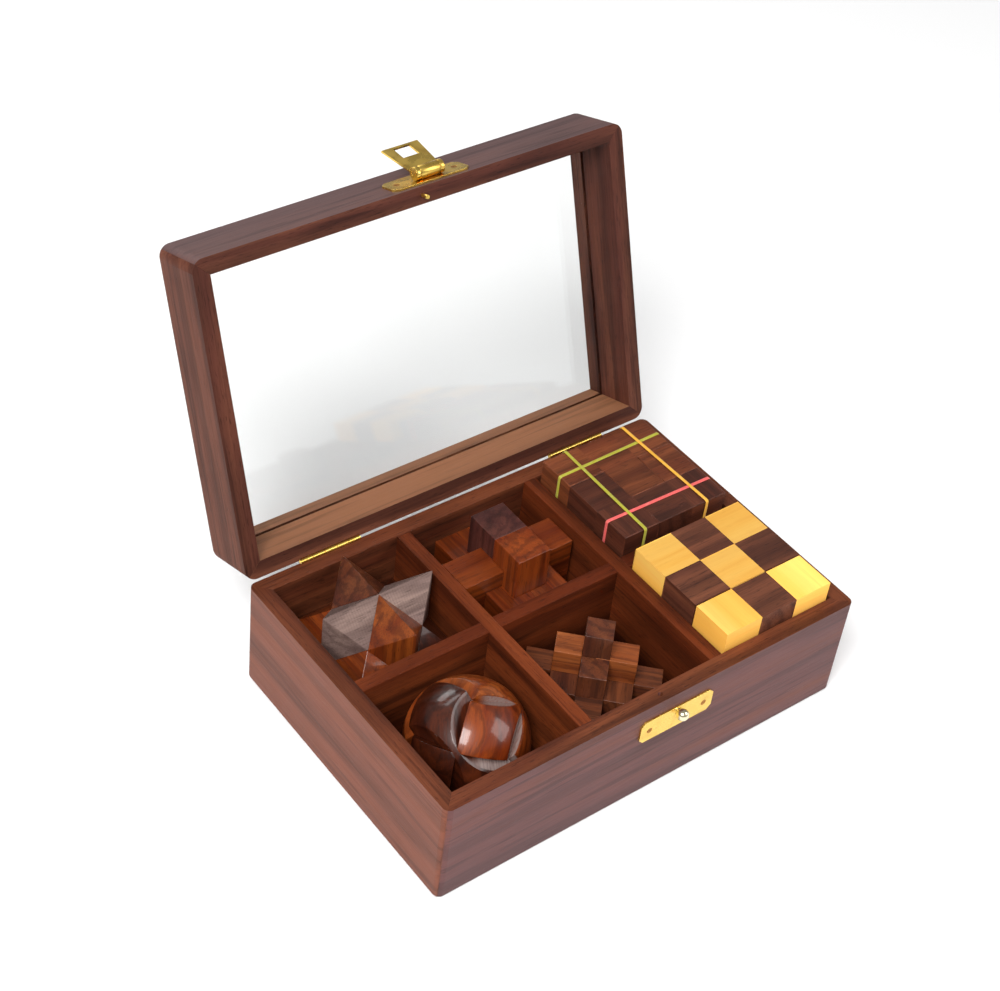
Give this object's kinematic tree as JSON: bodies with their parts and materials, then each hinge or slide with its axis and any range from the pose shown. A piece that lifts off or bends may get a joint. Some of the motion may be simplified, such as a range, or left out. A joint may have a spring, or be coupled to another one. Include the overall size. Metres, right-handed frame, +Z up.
{
  "type": "wooden burr puzzle set",
  "caption": "Hinged wooden box with a glazed lid, a clasp and divided bays, holding take-apart interlocking wooden puzzles.",
  "frame": {"origin": "centre of the box's underside", "axes": "+X to the right along the box, +Y towards the hinges, +Z up; the lid stands open"},
  "size_m": [0.2, 0.2061, 0.1801],
  "materials": {
    "case_wood": "satin dark hardwood",
    "divider_wood": "matt dark hardwood",
    "brass": "bright plated",
    "clear_glass": "clear",
    "polished_wood": "lacquered hardwood",
    "dark_wood": "oiled dark hardwood",
    "cube_wood": "oiled hardwood",
    "light_wood": "smooth pale hardwood",
    "green_rubber": "matt",
    "pink_rubber": "matt",
    "yellow_rubber": "matt",
    "white_elastic": "matt"
  },
  "bodies": {
    "box": {"box_bottom": "divider_wood", "box_front_wall": "case_wood", "box_back_wall": "case_wood", "box_left_wall": "case_wood", "box_right_wall": "case_wood", "long_divider": "divider_wood", "left_cross_divider": "divider_wood", "right_cross_divider": "divider_wood", "hinge_box_leaves": "brass", "hinge_pins": "brass", "catch_plate": "brass", "catch_knob": "brass", "box_screws": "brass"},
    "lid": {"lid_front_rail": "case_wood", "lid_back_rail": "case_wood", "lid_left_rail": "case_wood", "lid_right_rail": "case_wood", "lid_glass": "clear_glass", "hinge_lid_leaves": "brass", "clasp_plate": "brass", "clasp_pin": "brass", "lid_screws": "brass", "locating_pin": "brass"},
    "hasp": {"clasp_hasp": "brass"},
    "six_piece_burr": {"burr_back_post": "dark_wood", "burr_top_bar": "polished_wood", "burr_bottom_bar": "polished_wood", "burr_left_bar": "polished_wood", "burr_right_bar": "polished_wood"},
    "burr_key": {"burr_key": "polished_wood"},
    "star": {"star_back_post": "polished_wood", "star_bottom_bar": "polished_wood", "star_right_bar": "polished_wood"},
    "star_upper_half": {"star_front_post": "polished_wood", "star_top_bar": "polished_wood", "star_left_bar": "polished_wood"},
    "ball": {"ball_lower_stick_1": "polished_wood", "ball_lower_stick_2": "polished_wood", "ball_lower_stick_3": "polished_wood"},
    "ball_upper_half": {"ball_upper_stick_1": "polished_wood", "ball_upper_stick_2": "polished_wood", "ball_upper_stick_3": "polished_wood"},
    "pagoda": {"pagoda_lower_sticks": "dark_wood", "pagoda_long_sticks": "dark_wood"},
    "pagoda_sides": {"pagoda_side_sticks": "dark_wood"},
    "pagoda_top": {"pagoda_top_stick": "polished_wood"},
    "pagoda_key": {"pagoda_key": "dark_wood"},
    "banded_cube": {"soma_tee": "cube_wood", "soma_small_corner": "cube_wood", "soma_ell": "cube_wood", "soma_zed": "cube_wood", "soma_left_twist": "cube_wood", "soma_right_twist": "cube_wood", "soma_tripod": "cube_wood", "green_bands": "green_rubber", "pink_band": "pink_rubber", "yellow_band": "yellow_rubber"},
    "snake_cube": {"snake_light_cubes": "light_wood", "snake_dark_cubes": "dark_wood", "snake_elastic": "white_elastic"}
  },
  "joints": [
    {"name": "lid_hinge", "type": "hinge", "parent": "box", "child": "lid", "pos_m": [0, 0.06645, 0.05018], "axis": [-1, 0, 0], "range_deg": [-108.5, 0]},
    {"name": "hasp_hinge", "type": "hinge", "parent": "lid", "child": "hasp", "pos_m": [0.008, 0.11514, 0.17735], "axis": [1, 0, 0], "range_deg": [0, 162]},
    {"name": "burr_lift", "type": "slide", "parent": "box", "child": "six_piece_burr", "axis": [0, 0, 1], "range_m": [0, 0.07]},
    {"name": "burr_key_slide", "type": "slide", "parent": "six_piece_burr", "child": "burr_key", "axis": [0, 0, 1], "range_m": [0, 0.05]},
    {"name": "star_lift", "type": "slide", "parent": "box", "child": "star", "axis": [0, 0, 1], "range_m": [0, 0.07]},
    {"name": "star_split", "type": "slide", "parent": "star", "child": "star_upper_half", "axis": [-0.5774, -0.5774, 0.5774], "range_m": [0, 0.005]},
    {"name": "ball_lift", "type": "slide", "parent": "box", "child": "ball", "axis": [0, 0, 1], "range_m": [0, 0.07]},
    {"name": "ball_split", "type": "slide", "parent": "ball", "child": "ball_upper_half", "axis": [0, 0, 1], "range_m": [0, 0.04]},
    {"name": "pagoda_lift", "type": "slide", "parent": "box", "child": "pagoda", "axis": [0, 0, 1], "range_m": [0, 0.07]},
    {"name": "pagoda_sides_slide", "type": "slide", "parent": "pagoda", "child": "pagoda_sides", "axis": [0, 0, 1], "range_m": [0, 0.03]},
    {"name": "pagoda_top_slide", "type": "slide", "parent": "pagoda_sides", "child": "pagoda_top", "axis": [0, 0, 1], "range_m": [0, 0.03]},
    {"name": "pagoda_key_slide", "type": "slide", "parent": "pagoda_top", "child": "pagoda_key", "axis": [0, 0, 1], "range_m": [0, 0.05]},
    {"name": "banded_cube_lift", "type": "slide", "parent": "box", "child": "banded_cube", "axis": [0, 0, 1], "range_m": [0, 0.07]},
    {"name": "snake_cube_lift", "type": "slide", "parent": "box", "child": "snake_cube", "axis": [0, 0, 1], "range_m": [0, 0.07]}
  ]
}
